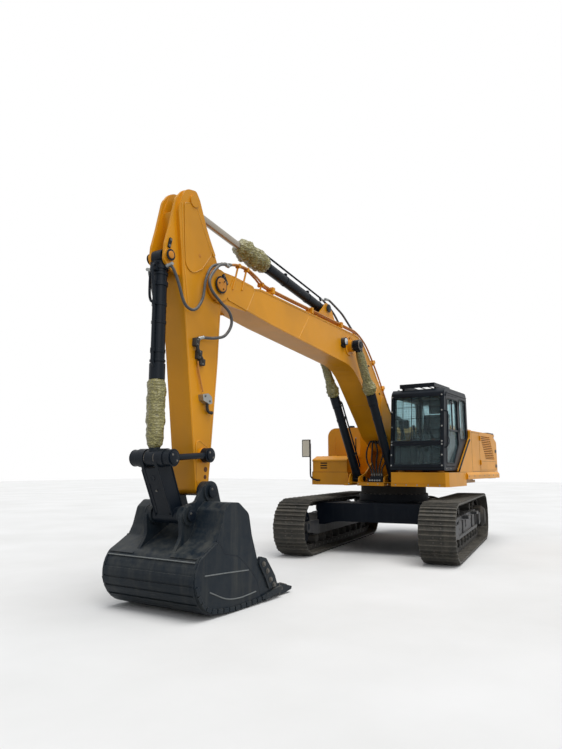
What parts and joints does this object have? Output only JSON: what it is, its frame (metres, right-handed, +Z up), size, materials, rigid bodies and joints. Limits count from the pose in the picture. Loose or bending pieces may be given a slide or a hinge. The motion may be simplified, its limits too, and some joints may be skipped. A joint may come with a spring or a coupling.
{
  "type": "crawler excavator",
  "caption": "Tracked digging machine with a swinging upper structure, cab, gooseneck boom, short stick and toothed bucket, arm lowered with its bucket on the ground",
  "frame": {"origin": "middle of the bounding box at ground level, between the tail and the bucket's heel", "axes": "+X forward along the boom, +Y to the operator's left, +Z up"},
  "size_m": [10.4862, 3.8954, 5.0165],
  "materials": {
    "carbody": "painted, dusty",
    "carbody_legs": "painted, dusty",
    "track_frame_left": "painted, dusty",
    "track_frame_right": "painted, dusty",
    "track_left": "worn, dusty",
    "track_right": "worn, dusty",
    "idlers": "painted, dusty",
    "sprockets": "worn, dusty",
    "track_rollers": "worn, dusty",
    "swing_bearing": "worn, dusty",
    "platform": "painted, dusty",
    "counterweight": "painted, dusty",
    "engine_block": "worn, dusty",
    "bay_frame": "painted, dusty",
    "left_panel": "painted, dusty",
    "right_panel": "painted, dusty",
    "fuel_tank": "painted, dusty",
    "tool_box": "painted, dusty",
    "cab_shell": "painted, dusty",
    "cab_glass": "clear",
    "cab_guard": "painted, dusty",
    "seat": "woven",
    "consoles": "moulded",
    "handrails": "painted, dusty",
    "side_mirror": "moulded",
    "swing_drive": "worn, dusty",
    "hood": "painted, dusty",
    "exhaust": "painted, dusty",
    "tool_box_lid": "painted, dusty",
    "left_rear_door": "painted, dusty",
    "right_door": "painted, dusty",
    "cab_door": "painted, dusty",
    "door_glass": "clear",
    "boom": "painted, dusty",
    "boom_pins": "machined",
    "boom_pipes": "painted, dusty",
    "boom_lamp": "moulded",
    "boom_cylinder_tubes": "painted, dusty",
    "boom_cylinder_rods": "chromed",
    "boom_rod_wraps": "moulded",
    "stick": "painted, dusty",
    "stick_pipes": "painted, dusty",
    "stick_cylinder_tube": "painted, dusty",
    "stick_cylinder_rod": "chromed",
    "stick_rod_wrap": "moulded",
    "bucket_cylinder_tube": "painted, dusty",
    "bucket_cylinder_rod": "chromed",
    "bucket_rod_wrap": "moulded",
    "side_links": "painted, dusty",
    "h_link": "painted, dusty",
    "bucket": "painted, dusty",
    "bucket_teeth": "worn, dusty"
  },
  "bodies": {
    "undercarriage": {"carbody": "carbody", "carbody_legs": "carbody_legs", "track_frame_left": "track_frame_left", "track_frame_right": "track_frame_right", "track_left": "track_left", "track_right": "track_right", "idlers": "idlers", "sprockets": "sprockets", "track_rollers": "track_rollers", "swing_bearing": "swing_bearing"},
    "house": {"platform": "platform", "counterweight": "counterweight", "engine_block": "engine_block", "bay_frame": "bay_frame", "left_panel": "left_panel", "right_panel": "right_panel", "fuel_tank": "fuel_tank", "tool_box": "tool_box", "cab_shell": "cab_shell", "cab_glass": "cab_glass", "cab_guard": "cab_guard", "seat": "seat", "consoles": "consoles", "handrails": "handrails", "side_mirror": "side_mirror", "swing_drive": "swing_drive"},
    "hood": {"hood": "hood", "exhaust": "exhaust"},
    "tool_box_lid": {"tool_box_lid": "tool_box_lid"},
    "left_rear_door": {"left_rear_door": "left_rear_door"},
    "right_door": {"right_door": "right_door"},
    "cab_door": {"cab_door": "cab_door", "door_glass": "door_glass"},
    "boom": {"boom": "boom", "boom_pins": "boom_pins", "boom_pipes": "boom_pipes", "boom_lamp": "boom_lamp"},
    "boom_tubes": {"boom_cylinder_tubes": "boom_cylinder_tubes"},
    "boom_rods": {"boom_cylinder_rods": "boom_cylinder_rods", "boom_rod_wraps": "boom_rod_wraps"},
    "stick": {"stick": "stick", "stick_pipes": "stick_pipes"},
    "stick_tube": {"stick_cylinder_tube": "stick_cylinder_tube"},
    "stick_rod": {"stick_cylinder_rod": "stick_cylinder_rod", "stick_rod_wrap": "stick_rod_wrap"},
    "bucket_tube": {"bucket_cylinder_tube": "bucket_cylinder_tube"},
    "bucket_rod": {"bucket_cylinder_rod": "bucket_cylinder_rod", "bucket_rod_wrap": "bucket_rod_wrap"},
    "side_links": {"side_links": "side_links"},
    "h_link": {"h_link": "h_link"},
    "bucket": {"bucket": "bucket", "bucket_teeth": "bucket_teeth"}
  },
  "joints": [
    {"name": "swing", "type": "hinge", "parent": "undercarriage", "child": "house", "pos_m": [-1.79063, 0, 1.15], "axis": [0, 0, 1], "continuous": true},
    {"name": "boom_raise", "type": "hinge", "parent": "house", "child": "boom", "pos_m": [-1.55063, 0, 2.02], "axis": [0, -1, 0], "range_deg": [-48, 48]},
    {"name": "boom_tube_tilt", "type": "hinge", "parent": "house", "child": "boom_tubes", "pos_m": [-0.91063, 0, 1.37], "axis": [0, -1, 0], "range_deg": [-44, 44]},
    {"name": "boom_rod_slide", "type": "slide", "parent": "boom_tubes", "child": "boom_rods", "axis": [0.5309, 0, 0.8474], "range_m": [-0.67, 0.67], "deforming": ["boom_rod_wraps"]},
    {"name": "stick_curl", "type": "hinge", "parent": "boom", "child": "stick", "pos_m": [4.30021, 0, 3.8985], "axis": [0, 1, 0], "range_deg": [-64, 34]},
    {"name": "stick_tube_tilt", "type": "hinge", "parent": "boom", "child": "stick_tube", "pos_m": [1.18011, 0, 4.30937], "axis": [0, 1, 0], "range_deg": [-7, 4]},
    {"name": "stick_rod_slide", "type": "slide", "parent": "stick_tube", "child": "stick_rod", "axis": [0.988, 0, 0.1544], "range_m": [-1.05, 0.56], "deforming": ["stick_rod_wrap"]},
    {"name": "bucket_curl", "type": "hinge", "parent": "stick", "child": "bucket", "pos_m": [4.49063, 0, 1.30548], "axis": [0, 1, 0], "range_deg": [-65, 70]},
    {"name": "side_link_tilt", "type": "hinge", "parent": "stick", "child": "side_links", "pos_m": [4.50937, 0, 1.733], "axis": [0, 1, 0], "range_deg": [-50, 54]},
    {"name": "h_link_tilt", "type": "hinge", "parent": "bucket", "child": "h_link", "pos_m": [4.86063, 0, 1.05048], "axis": [0, 1, 0], "range_deg": [-45, 42]},
    {"name": "bucket_tube_tilt", "type": "hinge", "parent": "stick", "child": "bucket_tube", "pos_m": [5.13532, 0, 4.0641], "axis": [0, 1, 0], "range_deg": [-3, 3]},
    {"name": "bucket_rod_slide", "type": "slide", "parent": "bucket_tube", "child": "bucket_rod", "axis": [0.0022, 0, -1], "range_m": [-0.5, 0.54], "deforming": ["bucket_rod_wrap"]},
    {"name": "cab_door_swing", "type": "hinge", "parent": "house", "child": "cab_door", "pos_m": [-1.50263, 1.5143, 2.2], "axis": [0, 0, 1], "range_deg": [0, 95]},
    {"name": "left_rear_door_swing", "type": "hinge", "parent": "house", "child": "left_rear_door", "pos_m": [-2.74063, 1.5643, 1.9], "axis": [0, 0, -1], "range_deg": [0, 100]},
    {"name": "right_door_swing", "type": "hinge", "parent": "house", "child": "right_door", "pos_m": [-2.74063, -1.4043, 1.9], "axis": [0, 0, 1], "range_deg": [0, 100]},
    {"name": "hood_lift", "type": "hinge", "parent": "house", "child": "hood", "pos_m": [-2.10663, 0, 2.3343], "axis": [0, 1, 0], "range_deg": [0, 60]},
    {"name": "tool_box_lid_lift", "type": "hinge", "parent": "house", "child": "tool_box_lid", "pos_m": [-1.52063, -0.9825, 1.8333], "axis": [0, -1, 0], "range_deg": [0, 75]}
  ],
  "couplings": [
    {"joint": "boom_tube_tilt", "follows": "boom_raise", "ratio": 0.9},
    {"joint": "boom_rod_slide", "follows": "boom_raise", "m_per_rad": 0.78},
    {"joint": "stick_tube_tilt", "follows": "stick_curl", "ratio": 0.1},
    {"joint": "stick_rod_slide", "follows": "stick_curl", "m_per_rad": 0.93},
    {"joint": "side_link_tilt", "follows": "bucket_curl", "ratio": 0.76},
    {"joint": "h_link_tilt", "follows": "bucket_curl", "ratio": -0.64},
    {"joint": "bucket_tube_tilt", "follows": "bucket_curl", "ratio": -0.035},
    {"joint": "bucket_rod_slide", "follows": "bucket_curl", "m_per_rad": 0.43}
  ]
}
